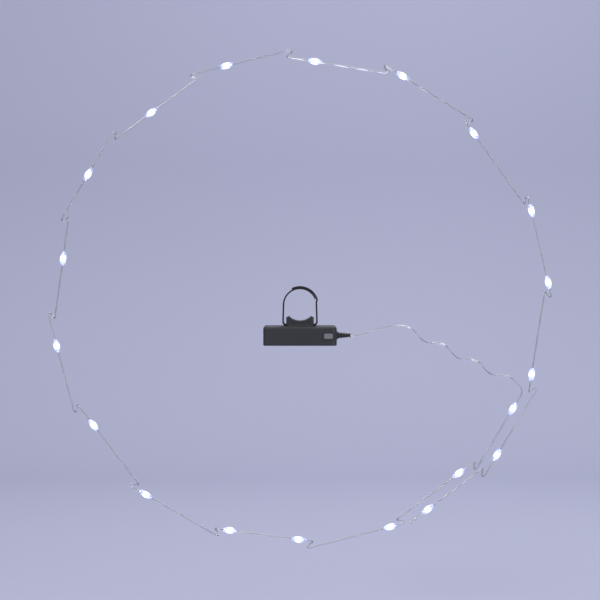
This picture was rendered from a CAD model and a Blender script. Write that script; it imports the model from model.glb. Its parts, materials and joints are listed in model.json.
import bisect
import json
import math

import bmesh
import bpy
from mathutils import Matrix, Vector


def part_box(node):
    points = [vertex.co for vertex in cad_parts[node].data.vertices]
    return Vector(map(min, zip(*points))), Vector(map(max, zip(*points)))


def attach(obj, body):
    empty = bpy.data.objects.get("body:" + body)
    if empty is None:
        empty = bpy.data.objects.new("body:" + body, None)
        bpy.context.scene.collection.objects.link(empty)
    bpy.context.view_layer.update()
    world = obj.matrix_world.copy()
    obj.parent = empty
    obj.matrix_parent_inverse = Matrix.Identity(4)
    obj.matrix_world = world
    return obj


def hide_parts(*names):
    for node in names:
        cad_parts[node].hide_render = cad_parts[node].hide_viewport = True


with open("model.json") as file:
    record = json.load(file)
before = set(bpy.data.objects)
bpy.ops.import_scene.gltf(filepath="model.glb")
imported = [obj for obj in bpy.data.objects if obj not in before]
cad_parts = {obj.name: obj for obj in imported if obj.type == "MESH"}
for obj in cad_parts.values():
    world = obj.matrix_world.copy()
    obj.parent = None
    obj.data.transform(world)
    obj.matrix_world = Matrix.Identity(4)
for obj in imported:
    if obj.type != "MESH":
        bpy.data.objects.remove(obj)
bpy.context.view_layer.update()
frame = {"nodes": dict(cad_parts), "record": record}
nodes = frame["nodes"]


# Studio: a pale sweep of backdrop paper that runs from the floor up behind the light and shows only from the
# light's side, so that views from behind look through it. The camera stands square to the ring, close to the
# height of its middle, and the lamps are large and soft.
camera_at = Vector((0.0, -1.70, 0.035))
camera_aim = Vector((0.0, 0.0, 0.005))
lens_mm = 100
sensor_mm = 36
floor_z = -0.339
sweep_half = 4.0
sweep_front = 2.6
sweep_back = 1.3
sweep_r = 0.6
sweep_rise = 3.0
sweep_steps = 16
merge_gap = 0.000002
paper_dark = (0.42, 0.43, 0.55)
paper_light = (0.45, 0.46, 0.58)
room_tint = (0.86, 0.88, 1.0, 1)
room_strength = 0.42


def put_in(name, data):
    ob = bpy.data.objects.new(name, data)
    bpy.context.scene.collection.objects.link(ob)
    return ob


def aimed(name, data, at, aim):
    ob = put_in(name, data)
    ob.location = at
    ob.rotation_euler = (Vector(aim) - Vector(at)).to_track_quat("-Z", "Y").to_euler()
    return ob


camera_data = bpy.data.cameras.new("camera")
camera_data.lens = lens_mm
camera_data.sensor_width = sensor_mm
bpy.context.scene.camera = aimed("camera", camera_data, camera_at, camera_aim)


def new_finish(name, **sockets):
    mat = bpy.data.materials.new(name)
    mat.use_nodes = True
    shader = mat.node_tree.nodes["Principled BSDF"]
    for socket, value in sockets.items():
        shader.inputs[socket.replace("_", " ")].default_value = value
    return mat, mat.node_tree, shader


# Settings in lower case are the node's own choices, and the others are its input sockets
def add(tree, kind, **settings):
    node = tree.nodes.new(kind)
    for name, value in settings.items():
        if name.islower():
            setattr(node, name, value)
        else:
            node.inputs[name.replace("_", " ")].default_value = value
    return node


def link(tree, source, output, target, socket):
    tree.links.new(source.outputs[output], target.inputs[socket])


def ramp(tree, low, high):
    node = add(tree, "ShaderNodeValToRGB")
    for stop, colour in zip(node.color_ramp.elements, (low, high)):
        stop.color = (*colour, 1)
    return node


def show(name, bm, mat):
    mesh = bpy.data.meshes.new(name)
    for face in bm.faces:
        face.smooth = True
    bm.to_mesh(mesh)
    bm.free()
    mesh.materials.append(mat)
    return put_in(name, mesh)


def drawn_out(bm, edge, vec):
    geom = bmesh.ops.extrude_edge_only(bm, edges=[edge])["geom"]
    bmesh.ops.translate(bm, verts=[g for g in geom if isinstance(g, bmesh.types.BMVert)], vec=vec)
    return [g for g in geom if isinstance(g, bmesh.types.BMEdge)]


paper, tree, shader = new_finish("backdrop paper", Roughness=0.9)
fibre = add(tree, "ShaderNodeTexNoise", Scale=6.0, Detail=3.0)
tint = ramp(tree, paper_dark, paper_light)
side_seen = add(tree, "ShaderNodeNewGeometry")
clear_back = add(tree, "ShaderNodeBsdfTransparent")
one_sided = add(tree, "ShaderNodeMixShader")
link(tree, fibre, "Fac", tint, "Fac")
link(tree, tint, "Color", shader, "Base Color")
link(tree, side_seen, "Backfacing", one_sided, "Fac")
link(tree, shader, "BSDF", one_sided, 1)
link(tree, clear_back, "BSDF", one_sided, 2)
link(tree, one_sided, "Shader", tree.nodes["Material Output"], "Surface")

bm = bmesh.new()
front = bm.edges.new([bm.verts.new((x, -sweep_front, floor_z)) for x in (-sweep_half, sweep_half)])
back = drawn_out(bm, front, (0, sweep_front + sweep_back, 0))
bmesh.ops.spin(
    bm, geom=back + [v for e in back for v in e.verts], cent=(0, sweep_back, floor_z + sweep_r),
    axis=(1, 0, 0), angle=math.pi / 2, steps=sweep_steps)
top = max(bm.edges, key=lambda e: sum(v.co.z for v in e.verts))
drawn_out(bm, top, (0, 0, sweep_rise))
bmesh.ops.remove_doubles(bm, verts=bm.verts, dist=merge_gap)
bmesh.ops.recalc_face_normals(bm, faces=bm.faces)
bmesh.ops.reverse_faces(bm, faces=bm.faces)
show("backdrop", bm, paper)


def lamp(name, at, aim, size, power, colour):
    data = bpy.data.lights.new(name, "AREA")
    data.shape = "DISK"
    data.size = size
    data.energy = power
    data.color = colour
    aimed(name, data, at, aim)


lamp("key_lamp", at=(-1.3, -1.9, 1.7), aim=(0, 0, 0), size=1.2, power=42, colour=(1.0, 0.98, 0.95))
lamp("fill_lamp", at=(1.8, -1.6, 0.6), aim=(0, 0, 0), size=1.6, power=20, colour=(0.93, 0.95, 1.0))
lamp("back_lamp", at=(0.4, 0.9, 1.8), aim=(0, 0.1, 0), size=1.4, power=24, colour=(0.95, 0.96, 1.0))
world = bpy.data.worlds.new("room")
world.use_nodes = True
room = world.node_tree.nodes["Background"]
room.inputs["Color"].default_value = room_tint
room.inputs["Strength"].default_value = room_strength
bpy.context.scene.world = world
bpy.context.scene.view_settings.view_transform = "Standard"


# String wire: clear soft insulation over two fine tinned strands, one length from the circuit board to its
# end cap. It leaves the gland, winds along a straight line out to the ring, and goes round the ring in taut
# runs with one open turn between each run and the next, as a hand winds it.
wire_r = 0.0008
wire_root = Vector((0.0255, 0, -0.031))
gland_tip = Vector((0.0516, 0, -0.031))
insulation_clear = (0.90, 0.94, 0.98, 1)

# The ring, how far the winding hand strays from it, and how far out a second round lies
ring_r = 0.250
ring_stray = 0.004
stray_turn = math.radians(220)
pass_gap = 0.011

# The lines that the lead and the ring's turns wind along
near_spokes = 16
spoke_step = math.tau / near_spokes
spoke_offset = 0.026
spoke_slope = math.radians(26.3)
flange_y = 0.028
flange_r = 0.029
rim_r = 0.265

# One turn of the wire
wrap_r = 0.0028
wrap_pitch = 0.007
wrap_bow = 2 * wrap_r * math.tan(spoke_step / 2)
wrap_steps = 28

# The lead, from the gland to the ring
lead_turns = 3.15
lead_coil_start = 0.110
lead_reach = 0.020
lead_bend = 0.010
free_steps = 24
coil_steps = 64
bend_steps = 14
little_way = 0.001

# The beads' places along the ring
led_count = 20
last_led = led_count - 1
led_first = math.radians(-26)
led_pitch = 0.090
led_step = led_pitch / ring_r
bead_len = 0.014
bead_out = 0.0005
bead_half = bead_len / 2 + bead_out
tail_len = 0.014

lead_in_r = ring_r - pass_gap / 2 - ring_stray
lead_bend_s = math.sqrt(lead_in_r**2 - spoke_offset**2) - lead_bend
coil_len = lead_bend_s - lead_coil_start
spoke_tilt = math.asin(spoke_offset / lead_in_r)
spoke_in = spoke_tilt - spoke_slope
spoke_up = Vector((math.sin(spoke_slope), 0, math.cos(spoke_slope)))
spoke_along = Vector((math.cos(spoke_slope), 0, -math.sin(spoke_slope)))
flange_s = math.sqrt(flange_r**2 - spoke_offset**2)
rim_s = math.sqrt(rim_r**2 - spoke_offset**2)
run_edge = (bead_half + wrap_r + 2 * wire_r) / (2 * ring_r * math.sin(spoke_step / 2))


# Point on the lead's line, s along it from its foot
def spoke_at(s):
    inward = Vector((0, flange_y * (rim_s - s) / (rim_s - flange_s), 0))
    return spoke_offset * spoke_up + s * spoke_along - inward


# Middle of the wire at angle a of turn j. The lines of even and odd turns lean opposite ways, and the wire
# climbs one and goes down the next.
def wrap_at(j, a):
    hand = 1 if j % 2 == 0 else -1
    angle = spoke_in - j * spoke_step
    lean = angle - spoke_tilt * hand
    r = ring_r + pass_gap * (j / near_spokes - 0.5) + ring_stray * math.cos(angle + stray_turn)
    middle = Vector((r * math.cos(angle), -flange_y * (rim_r - r) / (rim_r - flange_r), r * math.sin(angle)))
    outward = Vector((math.cos(lean), flange_y / (rim_r - flange_r), math.sin(lean))).normalized()
    onward = Vector((math.sin(angle), 0, -math.cos(angle)))
    climb = wrap_bow * math.sin(a / 2) - hand * wrap_pitch * math.cos(a / 2) / 2
    return middle + wrap_r * (math.sin(a) * onward + math.cos(a) * onward.cross(outward)) + climb * outward


# Place of bead k counted in runs, the run that carries it, and the direction of run m
def led_place(k):
    return (spoke_in - led_first + k * led_step) / spoke_step


def led_run(k):
    return math.floor(led_place(k))


def run_dir(m):
    return (wrap_at(m + 1, 0) - wrap_at(m, math.tau)).normalized()


# Point on the run of bead k, at a distance from the bead's middle, which keeps clear of the turns
def by_bead(k, along=0.0):
    m = led_run(k)
    f = max(run_edge, min(1 - run_edge, led_place(k) - m))
    return wrap_at(m, math.tau).lerp(wrap_at(m + 1, 0), f) + along * run_dir(m)


# Middle of the lead where it winds along its line
def coil_at(s):
    a = math.pi / 2 + math.tau * lead_turns * (s - lead_coil_start) / coil_len
    return spoke_at(s) + wrap_r * (math.sin(a) * spoke_up + math.cos(a) * Vector((0, 1, 0)))


# Point of the smooth curve from the first to the last of a few points, which the others pull at
def blend_of(points, t):
    while len(points) > 1:
        points = [a.lerp(b, t) for a, b in zip(points, points[1:])]
    return points[0]


coil_foot = coil_at(lead_coil_start)
coil_way = (coil_at(lead_coil_start + little_way) - coil_foot).normalized()
free_lead = [gland_tip, gland_tip + Vector((lead_reach, 0, 0)), coil_foot - lead_reach * coil_way, coil_foot]
first_run = wrap_at(0, math.tau)
ring_bend = [coil_at(lead_bend_s), first_run, first_run + lead_bend * run_dir(0)]
wire_route = [wire_root] + [blend_of(free_lead, i / free_steps) for i in range(free_steps)]
wire_route += [coil_at(lead_coil_start + coil_len * i / coil_steps) for i in range(coil_steps)]
wire_route += [blend_of(ring_bend, i / bend_steps) for i in range(bend_steps + 1)]
for m in range(led_run(last_led) + 1):
    if m > 0:
        wire_route += [wrap_at(m, math.tau * i / wrap_steps) for i in range(wrap_steps + 1)]
    for k in range(led_count):
        if led_run(k) == m:
            wire_route += [by_bead(k, -bead_half), by_bead(k, bead_half)]
wire_route.append(by_bead(last_led, bead_half + tail_len))


def drawn_wire(name, lines, radius, mat, roundness=4):
    data = bpy.data.curves.new(name, "CURVE")
    data.dimensions = "3D"
    data.bevel_depth = radius
    data.bevel_resolution = roundness
    data.use_fill_caps = True
    for line in lines:
        spline = data.splines.new("POLY")
        spline.points.add(len(line) - 1)
        for point, co in zip(spline.points, line):
            point.co = (*co, 1)
    data.materials.append(mat)
    return put_in(name, data)


haze = bpy.data.node_groups.new("resin haze", "ShaderNodeTree")
for socket in ("Scale", "Clear", "Hazy"):
    haze.interface.new_socket(socket, in_out="INPUT", socket_type="NodeSocketFloat")
haze.interface.new_socket("Roughness", in_out="OUTPUT", socket_type="NodeSocketFloat")
given = add(haze, "NodeGroupInput")
taken = add(haze, "NodeGroupOutput")
coord = add(haze, "ShaderNodeTexCoord")
cloud = add(haze, "ShaderNodeTexNoise", Detail=3.0)
dull = add(haze, "ShaderNodeMapRange", From_Min=0.3, From_Max=0.7)
link(haze, coord, "Object", cloud, "Vector")
link(haze, given, "Scale", cloud, "Scale")
link(haze, cloud, "Fac", dull, "Value")
link(haze, given, "Clear", dull, "To Min")
link(haze, given, "Hazy", dull, "To Max")
link(haze, dull, "Result", taken, "Roughness")


def clear_resin(name, cloud_scale, clear, hazy, **sockets):
    mat, tree, shader = new_finish(name, IOR=1.5, **sockets)
    skin = add(tree, "ShaderNodeGroup", node_tree=haze, Scale=cloud_scale, Clear=clear, Hazy=hazy)
    link(tree, skin, "Roughness", shader, "Roughness")
    return mat


insulation = clear_resin(
    "clear insulation", cloud_scale=320.0, clear=0.06, hazy=0.24,
    Base_Color=insulation_clear, Transmission_Weight=0.92)
wire = drawn_wire("string_wire_clear", [wire_route], wire_r, insulation)
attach(wire, "box")
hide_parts("string_wire")


# Strands: two bundles of fine tinned copper that lie side by side in the insulation and turn slowly about
# each other, as they do when a twin wire is wound by hand.
strand_r = 0.00022
strand_gap = 0.00031
strand_lay = 0.045
strand_step = 0.0025
tin_dark = (0.46, 0.45, 0.44)
tin_bright = (0.82, 0.81, 0.79)
strand_lines = [[], []]
run = 0.0
side = Vector((0, 1, 0))
for a, b in zip(wire_route, wire_route[1:]):
    way = (b - a).normalized()
    side = (side - side.dot(way) * way).normalized()
    cuts = max(1, math.ceil((b - a).length / strand_step))
    for i in range(cuts):
        turn = math.tau * (run + (b - a).length * i / cuts) / strand_lay
        off = strand_gap * (math.cos(turn) * side + math.sin(turn) * way.cross(side))
        strand_lines[0].append(a.lerp(b, i / cuts) + off)
        strand_lines[1].append(a.lerp(b, i / cuts) - off)
    run += (b - a).length
tinned, tree, shader = new_finish("tinned strand", Metallic=1.0, Roughness=0.3)
coord = add(tree, "ShaderNodeTexCoord")
twist = add(tree, "ShaderNodeTexWave", bands_direction="DIAGONAL", Scale=900.0, Distortion=1.5)
tone = ramp(tree, tin_dark, tin_bright)
link(tree, coord, "Object", twist, "Vector")
link(tree, twist, "Fac", tone, "Fac")
link(tree, tone, "Color", shader, "Base Color")
for name, line in zip(("strand_one", "strand_two"), strand_lines):
    strand = drawn_wire(name, [line], strand_r, tinned, roundness=1)
    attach(strand, "box")


# LED beads: drops of clear resin moulded over the wire and its chips, each like a grain of rice with a short
# collar at both ends. Lit, a bead is white in the middle and falls off to a cold blue towards its ends.
bead_r = 0.003
bead_fullness = 0.9
bead_sides = 28
swell_steps = 18
collar_r = 0.0018
collar_len = 0.002
collar_lip = 0.0004
bore_gap = 0.00002
bore_r = wire_r + bore_gap
glow_reach = 0.0036
resin_pale = (0.70, 0.76, 0.96, 1)
glow_none = (0.0, 0.0, 0.02)
glow_blue = (0.04, 0.05, 0.34)
glow_pale = (0.30, 0.38, 0.95)
glow_white = (1.0, 1.0, 1.0)
lit_resin, tree, shader = new_finish(
    "lit resin", Base_Color=resin_pale, IOR=1.5, Roughness=0.15, Transmission_Weight=0.7,
    Coat_Weight=0.4, Emission_Strength=1.2)
glow = add(tree, "ShaderNodeAttribute", attribute_name="glow")
fall = ramp(tree, glow_none, glow_white)
for place, colour in ((0.30, glow_blue), (0.65, glow_pale)):
    fall.color_ramp.elements.new(place).color = (*colour, 1)
link(tree, glow, "Fac", fall, "Fac")
link(tree, fall, "Color", shader, "Emission Color")


def lathe(bm, profile, sides):
    ring = [bm.verts.new((r, 0, z)) for r, z in profile]
    edges = [bm.edges.new((a, b)) for a, b in zip(ring, ring[1:] + ring[:1])]
    bmesh.ops.spin(
        bm, geom=ring + edges, cent=(0, 0, 0), axis=(0, 0, 1), angle=math.tau, steps=sides, use_merge=True)
    bmesh.ops.remove_doubles(bm, verts=bm.verts, dist=merge_gap)
    bmesh.ops.recalc_face_normals(bm, faces=bm.faces)


# Puts a turned shape at a point, with its axis along the way and one side as near as it can be to the front
def along_wire(at, way):
    front = Vector((0, -1, 0))
    u = (front - front.dot(way) * way).normalized()
    return Matrix.Translation(at) @ Matrix((u, way.cross(u), way)).transposed().to_4x4()


bead_end = bead_len / 2
swell = bead_end - collar_len
bead_profile = [(bore_r, -bead_end), (collar_r - collar_lip, -bead_end), (collar_r, collar_lip - bead_end)]
for i in range(swell_steps + 1):
    a = math.pi * i / swell_steps
    r = collar_r + (bead_r - collar_r) * math.sin(a) ** bead_fullness
    bead_profile.append((r, -swell * math.cos(a)))
bead_profile += [(collar_r, bead_end - collar_lip), (collar_r - collar_lip, bead_end), (bore_r, bead_end)]
for k in range(led_count):
    bm = bmesh.new()
    lathe(bm, bead_profile, bead_sides)
    layer = bm.verts.layers.float.new("glow")
    for v in bm.verts:
        v[layer] = math.exp(-((v.co.z / glow_reach) ** 2))
    bmesh.ops.transform(bm, matrix=along_wire(by_bead(k), run_dir(led_run(k))), verts=bm.verts)
    bead = show("bead_%02d" % (k + 1), bm, lit_resin)
    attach(bead, "box")
    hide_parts("led_bead_%02d" % (k + 1))


# LED chips: a small chip under yellow phosphor in each bead. It is soldered across the two strands before
# the bead is moulded over it.
phosphor_deep = (0.90, 0.82, 0.42)
phosphor_pale = (1.0, 0.97, 0.80)


# Gives a finish to a piece that keeps its solid as it is
def dress(node, mat):
    for place in nodes[node].material_slots:
        place.material = mat


phosphor, tree, shader = new_finish("lit phosphor", Roughness=0.5, Emission_Strength=6.0)
coord = add(tree, "ShaderNodeTexCoord")
specks = add(tree, "ShaderNodeTexNoise", Scale=2500.0, Detail=2.0)
warm = ramp(tree, phosphor_deep, phosphor_pale)
link(tree, coord, "Object", specks, "Vector")
link(tree, specks, "Fac", warm, "Fac")
link(tree, warm, "Color", shader, "Base Color")
link(tree, warm, "Color", shader, "Emission Color")
dress("led_chips", phosphor)


# End cap: a clear moulded cap over the wire's cut end. It is glued on, which keeps water out of the strands.
# The wire, with its beads, chips, strands and cap, is the light's one free cord.
cap_clear = (0.88, 0.92, 0.96, 1)
cap_resin = clear_resin(
    "clear cap", cloud_scale=700.0, clear=0.10, hazy=0.35,
    Base_Color=cap_clear, Transmission_Weight=0.85, Coat_Weight=0.3)
dress("end_cap", cap_resin)


# Battery base: a box moulded in black plastic, open underneath, with a saddle on top. Its edges are softened
# by the mould, its sides carry a fine spark-eroded grain, and use has rubbed it a little.
flat_angle = math.radians(0.5)
crisp_angle = math.radians(28)
case_black = (0.018, 0.019, 0.022)
case_rubbed = (0.040, 0.041, 0.046)
grain = bpy.data.node_groups.new("moulded grain", "ShaderNodeTree")
grain.interface.new_socket("Grain scale", in_out="INPUT", socket_type="NodeSocketFloat")
for socket in ("Height", "Roughness", "Rub"):
    grain.interface.new_socket(socket, in_out="OUTPUT", socket_type="NodeSocketFloat")
given = add(grain, "NodeGroupInput")
taken = add(grain, "NodeGroupOutput")
coord = add(grain, "ShaderNodeTexCoord")
fine = add(grain, "ShaderNodeTexNoise", Detail=2.0, Roughness=0.6)
broad = add(grain, "ShaderNodeTexNoise", Scale=70.0, Detail=5.0, Roughness=0.6)
rubbed = add(grain, "ShaderNodeTexNoise", Scale=480.0, Detail=8.0, Roughness=0.8)
sheen = add(grain, "ShaderNodeMapRange", From_Min=0.3, From_Max=0.7, To_Min=0.46, To_Max=0.58)
marks = add(grain, "ShaderNodeMapRange", From_Min=0.52, From_Max=0.80, To_Min=0.0, To_Max=1.0)
for texture in (fine, broad, rubbed):
    link(grain, coord, "Object", texture, "Vector")
link(grain, given, "Grain scale", fine, "Scale")
link(grain, fine, "Fac", taken, "Height")
link(grain, broad, "Fac", sheen, "Value")
link(grain, sheen, "Result", taken, "Roughness")
link(grain, rubbed, "Fac", marks, "Value")
link(grain, marks, "Result", taken, "Rub")


def moulded(name, fresh, worn, grain_scale=4200.0, depth=0.00006, **sockets):
    mat, tree, shader = new_finish(name, **sockets)
    skin = add(tree, "ShaderNodeGroup", node_tree=grain, Grain_scale=grain_scale)
    tone = ramp(tree, fresh, worn)
    bump = add(tree, "ShaderNodeBump", Strength=0.6, Distance=depth)
    link(tree, skin, "Rub", tone, "Fac")
    link(tree, tone, "Color", shader, "Base Color")
    link(tree, skin, "Roughness", shader, "Roughness")
    link(tree, skin, "Height", bump, "Height")
    link(tree, bump, "Normal", shader, "Normal")
    return mat


# A piece in the form of its solid. Its crisp edges get a small radius, or stay crisp where the edge is 0.
def from_solid(name, node, mat, edge=0.0, body="box"):
    bm = bmesh.new()
    bm.from_mesh(nodes[node].data)
    bmesh.ops.remove_doubles(bm, verts=bm.verts, dist=merge_gap)
    bmesh.ops.dissolve_limit(bm, angle_limit=flat_angle, verts=bm.verts, edges=bm.edges)
    crisp = [e for e in bm.edges if len(e.link_faces) == 2 and e.calc_face_angle() > crisp_angle]
    if edge > 0:
        bmesh.ops.bevel(
            bm, geom=crisp, offset=edge, offset_type="OFFSET", affect="EDGES", segments=2, profile=0.5,
            material=-1, clamp_overlap=True)
    else:
        for e in crisp:
            e.smooth = False
    piece = show(name, bm, mat)
    even = piece.modifiers.new("even_shading", "WEIGHTED_NORMAL")
    even.keep_sharp = True
    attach(piece, body)
    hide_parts(node)
    return piece


black_case = moulded("black case", case_black, case_rubbed)
from_solid("case_moulding", "battery_base", black_case)


# Saddle pad: a soft strip of black rubber, moulded with grooves along its hollow face so that it grips, and
# glued into the saddle.
pad_edge = 0.00005
pad_black = (0.022, 0.022, 0.024)
pad_rubbed = (0.060, 0.060, 0.062)
pad_rubber = moulded("pad rubber", pad_black, pad_rubbed, grain_scale=3000.0)
from_solid("pad_strip", "hub_pad", pad_rubber, pad_edge)


# Strap: one length of black hook-and-loop webbing, loop pile with a woven selvedge along both edges. It
# starts on top, goes down the left side, through the tunnel under the saddle and up the right side, and its
# rounded tail lies over its own start.
clamp = next(m for m in frame["record"]["mounts"] if m["name"] == "hub_clamp")
hub_r = clamp["dims"]["r_mm"] / 1000
strap_low, strap_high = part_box("hub_strap")
strap_w = strap_high.y - strap_low.y
strap_t = (strap_high.z - hub_r) / 2
strap_bend_r = 0.0025
saddle_x = strap_high.x - strap_t - strap_bend_r
strap_bend_z = strap_low.z + strap_t + strap_bend_r
strap_reach = math.hypot(saddle_x, strap_bend_z)
strap_leave = math.atan2(strap_bend_z, saddle_x) + math.acos((hub_r - strap_bend_r) / strap_reach)
mid_r = hub_r + strap_t / 2
out_r = mid_r + strap_t
bend_r = strap_bend_r + strap_t / 2
lift_from = math.radians(6)
tail_from = math.radians(21)
tail_to = math.radians(117)
tail_corner_r = 0.004
start_steps = 44
fold_steps = 12
leave_steps = 3
lift_steps = 8
tail_steps = 30
cuts_along = 340
cuts_across = 12
nap = 0.0001
selvedge_r = 0.0003
yarn_dark = (0.006, 0.006, 0.008)
yarn_light = (0.048, 0.048, 0.054)


# Points of an arc in the XZ plane, from angle a0 to angle a1
def arc(cx, cz, r, a0, a1, steps):
    angles = [a0 + (a1 - a0) * i / steps for i in range(steps + 1)]
    return [Vector((cx + r * math.cos(a), 0, cz + r * math.sin(a))) for a in angles]


strap_line = arc(0, 0, mid_r, tail_from, math.pi - strap_leave, start_steps)
strap_line += arc(-saddle_x, strap_bend_z, bend_r, math.pi - strap_leave, 1.5 * math.pi, fold_steps)
strap_line += arc(saddle_x, strap_bend_z, bend_r, -math.pi / 2, strap_leave, fold_steps)
strap_line += arc(0, 0, mid_r, strap_leave, lift_from, leave_steps)
for i in range(1, lift_steps):
    t = i / lift_steps
    a = lift_from + (tail_from - lift_from) * t
    r = mid_r + (out_r - mid_r) * (1 - math.cos(math.pi * t)) / 2
    strap_line.append(Vector((r * math.cos(a), 0, r * math.sin(a))))
strap_line += arc(0, 0, out_r, tail_from, tail_to, tail_steps)
reach = [0.0]
for a, b in zip(strap_line, strap_line[1:]):
    reach.append(reach[-1] + (b - a).length)
strap_len = reach[-1]

webbing, tree, shader = new_finish("black webbing", Sheen_Weight=0.1, Sheen_Roughness=0.4, Roughness=0.9)
flat = add(tree, "ShaderNodeUVMap", uv_map="UVMap")
laid = add(tree, "ShaderNodeMapping", Scale=(strap_len, strap_w, 1))
weft = add(tree, "ShaderNodeTexWave", bands_direction="X", Scale=230.0, Distortion=0.5, Detail=1.0)
warp = add(tree, "ShaderNodeTexWave", bands_direction="Y", Scale=300.0, Distortion=0.5, Detail=1.0)
weave = add(tree, "ShaderNodeMath", operation="MULTIPLY")
combed = add(tree, "ShaderNodeMapping", Scale=(1, 0.3, 1))
fibre = add(tree, "ShaderNodeTexNoise", Scale=4200.0, Detail=4.0, Roughness=0.75)
rows = add(tree, "ShaderNodeTexWave", bands_direction="X", Scale=560.0, Distortion=2.5, Detail=2.0)
pile = add(tree, "ShaderNodeMath", operation="MULTIPLY")
across = add(tree, "ShaderNodeSeparateXYZ")
to_edge = add(tree, "ShaderNodeMath", operation="PINGPONG")
to_edge.inputs[1].default_value = 0.5
selvedge = add(tree, "ShaderNodeMapRange", From_Min=0.075, From_Max=0.095, To_Min=1.0, To_Max=0.0)
height = add(tree, "ShaderNodeMix", data_type="FLOAT")
coord = add(tree, "ShaderNodeTexCoord")
fuzz = add(tree, "ShaderNodeTexNoise", Scale=2400.0, Detail=4.0, Roughness=0.7)
fuzzed = add(tree, "ShaderNodeMix", data_type="FLOAT", Factor=0.3)
yarn = ramp(tree, yarn_dark, yarn_light)
bump = add(tree, "ShaderNodeBump", Strength=0.9, Distance=0.0004)
link(tree, flat, "UV", laid, "Vector")
for texture in (weft, warp, rows, combed):
    link(tree, laid, "Vector", texture, "Vector")
link(tree, weft, "Fac", weave, 0)
link(tree, warp, "Fac", weave, 1)
link(tree, combed, "Vector", fibre, "Vector")
link(tree, fibre, "Fac", pile, 0)
link(tree, rows, "Fac", pile, 1)
link(tree, flat, "UV", across, "Vector")
link(tree, across, "Y", to_edge, 0)
link(tree, to_edge, "Value", selvedge, "Value")
link(tree, selvedge, "Result", height, "Factor")
link(tree, pile, "Value", height, "A")
link(tree, weave, "Value", height, "B")
link(tree, coord, "Object", fuzz, "Vector")
link(tree, height, "Result", fuzzed, "A")
link(tree, fuzz, "Fac", fuzzed, "B")
link(tree, fuzzed, "Result", yarn, "Fac")
link(tree, yarn, "Color", shader, "Base Color")
link(tree, fuzzed, "Result", bump, "Height")
link(tree, bump, "Normal", shader, "Normal")

bm = bmesh.new()
bm.loops.layers.uv.new("UVMap")
bmesh.ops.create_grid(bm, x_segments=cuts_along, y_segments=cuts_across, size=0.5, calc_uvs=True)
for v in bm.verts:
    s = (v.co.x + 0.5) * strap_len
    i = bisect.bisect_right(reach, s, hi=len(reach) - 1) - 1
    t = (s - reach[i]) / (reach[i + 1] - reach[i])
    tip = max(0.0, s - (strap_len - tail_corner_r)) / tail_corner_r
    half = strap_w / 2 - tail_corner_r * (1 - math.sqrt(max(0.0, 1 - tip * tip)))
    v.co = strap_line[i].lerp(strap_line[i + 1], t) + Vector((0, 2 * half * v.co.y, 0))
bmesh.ops.recalc_face_normals(bm, faces=bm.faces)
strap = show("strap_webbing", bm, webbing)
cloth = strap.modifiers.new("thickness", "SOLIDIFY")
cloth.thickness = strap_t - nap
cloth.offset = 0
edge = strap.modifiers.new("selvedge", "BEVEL")
edge.width = selvedge_r
edge.segments = 2
edge.limit_method = "ANGLE"
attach(strap, "box")
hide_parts("hub_strap")


# Battery cover: a flat plate of black moulded plastic that closes the box from below. Tongues along its
# sides run in the base's rails, and grooves under one end give the thumb a grip to slide it off.
cover_black = (0.021, 0.022, 0.025)
cover_rubbed = (0.044, 0.045, 0.050)
cover_plate = moulded("cover plate", cover_black, cover_rubbed)
from_solid("cover_moulding", "battery_cover", cover_plate, body="cover")


# Cells: three AA cells, steel cans in a printed shrink sleeve. It is dark with a pale band towards the
# positive cap, and leaves the metal bare at both ends. The middle cell lies the other way round.
cell_edge = 0.0002
cap_bare = 0.0028
base_bare = 0.0004
band_len = 0.0113
ink_dark = (0.030, 0.042, 0.066)
ink_light = (0.046, 0.060, 0.088)
band_grey = (0.46, 0.47, 0.50)
can_steel = (0.62, 0.61, 0.58)


# Paints one colour over what lies under it, where the mask is 1
def painted(tree, under, over, mask):
    mix = add(tree, "ShaderNodeMix", data_type="RGBA")
    factor, base, cover = (mix.inputs[i] for i in (0, 6, 7))
    cover.default_value = (*over, 1)
    tree.links.new(mask, factor)
    tree.links.new(under, base)
    return mix.outputs[2]


def cell_sleeve(name, node, turn):
    low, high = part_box(node)
    sleeve_half = (high.x - low.x - cap_bare - base_bare) / 2
    sleeve_middle = (low.x + high.x - turn * (cap_bare - base_bare)) / 2
    mat, tree, shader = new_finish(name, Coat_Weight=0.4, Coat_Roughness=0.2)
    coord = add(tree, "ShaderNodeTexCoord")
    split = add(tree, "ShaderNodeSeparateXYZ")
    along = add(tree, "ShaderNodeMath", operation="MULTIPLY_ADD")
    along.inputs[1].default_value = turn
    along.inputs[2].default_value = -turn * sleeve_middle
    out = add(tree, "ShaderNodeMath", operation="ABSOLUTE")
    bare = add(tree, "ShaderNodeMath", operation="GREATER_THAN")
    bare.inputs[1].default_value = sleeve_half
    band = add(tree, "ShaderNodeMath", operation="GREATER_THAN")
    band.inputs[1].default_value = sleeve_half - band_len
    mottle = add(tree, "ShaderNodeTexNoise", Scale=160.0, Detail=3.0)
    ink = ramp(tree, ink_dark, ink_light)
    gloss = add(tree, "ShaderNodeMapRange", To_Min=0.2, To_Max=0.4)
    link(tree, coord, "Object", split, "Vector")
    link(tree, split, "X", along, 0)
    link(tree, along, "Value", out, 0)
    link(tree, out, "Value", bare, 0)
    link(tree, along, "Value", band, 0)
    link(tree, coord, "Object", mottle, "Vector")
    link(tree, mottle, "Fac", ink, "Fac")
    link(tree, mottle, "Fac", gloss, "Value")
    printed = painted(tree, ink.outputs["Color"], band_grey, band.outputs["Value"])
    shell = painted(tree, printed, can_steel, bare.outputs["Value"])
    tree.links.new(shell, shader.inputs["Base Color"])
    link(tree, bare, "Value", shader, "Metallic")
    link(tree, gloss, "Result", shader, "Roughness")
    return mat


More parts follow.
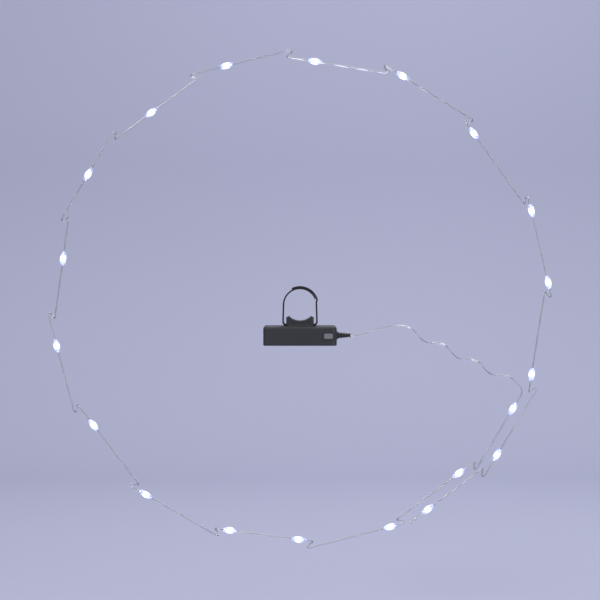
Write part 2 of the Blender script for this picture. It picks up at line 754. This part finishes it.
outer_sleeve = cell_sleeve("outer cell sleeve", "cell_1", 1)
middle_sleeve = cell_sleeve("middle cell sleeve", "cell_2", -1)
for name, node, mat in (
        ("cell_can_1", "cell_1", outer_sleeve), ("cell_can_2", "cell_2", middle_sleeve),
        ("cell_can_3", "cell_3", outer_sleeve)):
    from_solid(name, node, mat, cell_edge)


# Contacts: nickel-plated sheet, stamped with a dimple for each positive cap and a tab for each lead. It is
# pushed in against the ends of the bay.
nickel_dull = (0.52, 0.51, 0.48)
nickel_bright = (0.72, 0.71, 0.68)
plated, tree, shader = new_finish("nickel sheet", Metallic=1.0)
coord = add(tree, "ShaderNodeTexCoord")
rolled = add(tree, "ShaderNodeMapping", Scale=(1, 60, 1))
streak = add(tree, "ShaderNodeTexNoise", Scale=90.0, Detail=4.0)
tone = ramp(tree, nickel_dull, nickel_bright)
gloss = add(tree, "ShaderNodeMapRange", To_Min=0.2, To_Max=0.45)
link(tree, coord, "Object", rolled, "Vector")
link(tree, rolled, "Vector", streak, "Vector")
link(tree, streak, "Fac", tone, "Fac")
link(tree, tone, "Color", shader, "Base Color")
link(tree, streak, "Fac", gloss, "Value")
link(tree, gloss, "Result", shader, "Roughness")
dress("contact_plates", plated)


# Contact springs: cones wound from plated spring wire, wide where they stand on the sheet and narrow where
# they press on a cell's flat end.
plate_t = 0.0004
spring_wire_r = 0.00035
spring_len = 0.0045
spring_foot_r = 0.0045
spring_tip_r = 0.0025
spring_snug = 0.00005
spring_turns = 3
turn_steps = 24
spring_steps = spring_turns * turn_steps
spring_wide = spring_foot_r - spring_wire_r
spring_narrow = spring_tip_r - spring_wire_r
spring_rise = spring_len - 2 * spring_wire_r - 2 * spring_snug
plates_low, plates_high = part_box("contact_plates")
left_foot = plates_low.x + plate_t
right_foot = plates_high.x - plate_t
spring_lines = []
for node, foot, hand in (("cell_1", left_foot, 1), ("cell_2", right_foot, -1), ("cell_3", left_foot, 1)):
    low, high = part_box(node)
    middle = (low + high) / 2
    line = []
    for i in range(spring_steps + 1):
        t = i / spring_steps
        a = math.tau * spring_turns * t
        r = spring_wide + (spring_narrow - spring_wide) * t
        x = spring_wire_r + spring_snug + spring_rise * t
        line.append(Vector((foot + hand * x, middle.y + hand * r * math.cos(a), middle.z + r * math.sin(a))))
    spring_lines.append(line)
springs = drawn_wire("spring_coils", spring_lines, spring_wire_r, plated, roundness=3)
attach(springs, "box")
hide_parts("contact_springs")


# Battery leads: red and black PVC wires, soldered at both ends. They run from the end contacts along
# channels in the box's ceiling, over the circuit board's edge and down to their pads.
board_low, board_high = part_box("circuit_board")
board_face = board_high.x
hook_steps = 12
lead_red = (0.36, 0.012, 0.016)
lead_red_light = (0.50, 0.026, 0.030)
lead_black = (0.008, 0.008, 0.010)
lead_black_light = (0.020, 0.020, 0.023)
solder_pads = []
for name, node, slot, dark, light in (
        ("red_wire", "red_lead", "red_insulation", lead_red, lead_red_light),
        ("black_wire", "black_lead", "black_insulation", lead_black, lead_black_light)):
    low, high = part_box(node)
    lead_r = (high.y - low.y) / 2
    hook_r = 4 * lead_r
    start = Vector((low.x, low.y + lead_r, high.z - lead_r))
    edge_top = Vector((board_low.x - lead_r, start.y, start.z))
    hook = arc(board_face + 2 * lead_r, start.z - hook_r, hook_r, math.pi / 2, -math.pi / 2, hook_steps)
    pad = Vector((board_face, start.y, start.z - 2 * hook_r))
    line = [start, edge_top] + [p + Vector((0, start.y, 0)) for p in hook] + [pad]
    sheath = moulded(name + " insulation", dark, light, grain_scale=900.0, depth=0.00001, Coat_Weight=0.3)
    lead = drawn_wire(name, [line], lead_r, sheath)
    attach(lead, "box")
    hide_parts(node)
    solder_pads.append(pad)
solder_pads.append(wire_root)


# Circuit board: a strip of glass-epoxy laminate under green solder mask, with copper tracks that show paler
# through it, standing between ribs in the end of the box. Its chip and small parts are soldered to its face.
mask_dark = (0.008, 0.085, 0.030)
mask_light = (0.012, 0.115, 0.040)
mask_on_copper = (0.030, 0.210, 0.070)
resin_black = (0.016, 0.016, 0.018)
resin_rubbed = (0.035, 0.035, 0.038)
ceramic_dark = (0.070, 0.055, 0.042)
ceramic_light = (0.110, 0.088, 0.066)
mask_green, tree, shader = new_finish("solder mask", Coat_Weight=0.5, Coat_Roughness=0.15)
coord = add(tree, "ShaderNodeTexCoord")
split = add(tree, "ShaderNodeSeparateXYZ")
face_on = add(tree, "ShaderNodeCombineXYZ")
islands = add(tree, "ShaderNodeTexVoronoi", feature="DISTANCE_TO_EDGE", distance="MANHATTAN", Scale=330.0)
tracks = add(tree, "ShaderNodeMapRange", From_Min=0.10, From_Max=0.14, To_Min=1.0, To_Max=0.0)
glass = add(tree, "ShaderNodeTexNoise", Scale=900.0, Detail=2.0)
laminate = ramp(tree, mask_dark, mask_light)
facing = add(tree, "ShaderNodeSeparateXYZ")
on_face = add(tree, "ShaderNodeMath", operation="MULTIPLY")
gloss = add(tree, "ShaderNodeMapRange", To_Min=0.25, To_Max=0.4)
link(tree, coord, "Object", split, "Vector")
link(tree, split, "Y", face_on, "X")
link(tree, split, "Z", face_on, "Y")
link(tree, face_on, "Vector", islands, "Vector")
link(tree, islands, "Distance", tracks, "Value")
link(tree, coord, "Normal", facing, "Vector")
link(tree, facing, "X", on_face, 0)
link(tree, tracks, "Result", on_face, 1)
link(tree, coord, "Object", glass, "Vector")
link(tree, glass, "Fac", laminate, "Fac")
copper = painted(tree, laminate.outputs["Color"], mask_on_copper, on_face.outputs["Value"])
tree.links.new(copper, shader.inputs["Base Color"])
link(tree, glass, "Fac", gloss, "Value")
link(tree, gloss, "Result", shader, "Roughness")
dress("circuit_board", mask_green)
chip_resin = moulded("chip resin", resin_black, resin_rubbed)
dress("control_chip", chip_resin)
dress("board_parts", moulded("chip ceramic", ceramic_dark, ceramic_light))


# Solder joints: small cones of solder with hollow sides, where the two battery leads and the string's
# strands are soldered to the board.
joint_foot_r = 0.0013
joint_tip_r = 0.0004
joint_h = 0.0012
joint_sunk = 0.0001
joint_hollow = 1.5
joint_steps = 6
joint_sides = 20
joint_profile = [(joint_tip_r, -joint_sunk), (joint_foot_r, -joint_sunk)]
for i in range(joint_steps + 1):
    t = i / joint_steps
    r = joint_tip_r + (joint_foot_r - joint_tip_r) * (1 - t) ** joint_hollow
    joint_profile.append((r, joint_sunk + (joint_h - joint_sunk) * t))
bm = bmesh.new()
for pad in solder_pads:
    drop = bmesh.new()
    lathe(drop, joint_profile, joint_sides)
    bmesh.ops.transform(drop, matrix=along_wire(pad, Vector((1, 0, 0))), verts=drop.verts)
    one = bpy.data.meshes.new("solder_drop")
    drop.to_mesh(one)
    drop.free()
    bm.from_mesh(one)
    bpy.data.meshes.remove(one)
solder = show("solder_joints", bm, tinned)
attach(solder, "box")


# Power button: a key of grey soft-touch plastic with a dished face, in a raised collar on the box's side.
# Behind it is the switch: a black body soldered to the board, and an ivory plunger pushed by the key's stem.
key_edge = 0.0002
key_grey = (0.150, 0.158, 0.172)
key_rubbed = (0.235, 0.242, 0.255)
ivory_deep = (0.70, 0.68, 0.61)
ivory_pale = (0.78, 0.76, 0.70)
soft_grey = moulded("soft grey", key_grey, key_rubbed, depth=0.00004)
from_solid("button_key", "power_button", soft_grey, key_edge, "button")
ivory = moulded("ivory plunger", ivory_deep, ivory_pale, depth=0.00003)
from_solid("plunger_pin", "switch_plunger", ivory, key_edge, "button")
dress("tact_switch", chip_resin)


# Cable gland: a black rubber bush snapped into the box's end wall. Its ribbed nose tapers so that the wire
# bends gently where it leaves.
gland_edge = 0.00015
gland_black = (0.014, 0.014, 0.016)
gland_rubbed = (0.050, 0.050, 0.053)
gland_rubber = moulded("gland rubber", gland_black, gland_rubbed, grain_scale=3000.0)
from_solid("gland_bush", "cable_gland", gland_rubber, gland_edge)
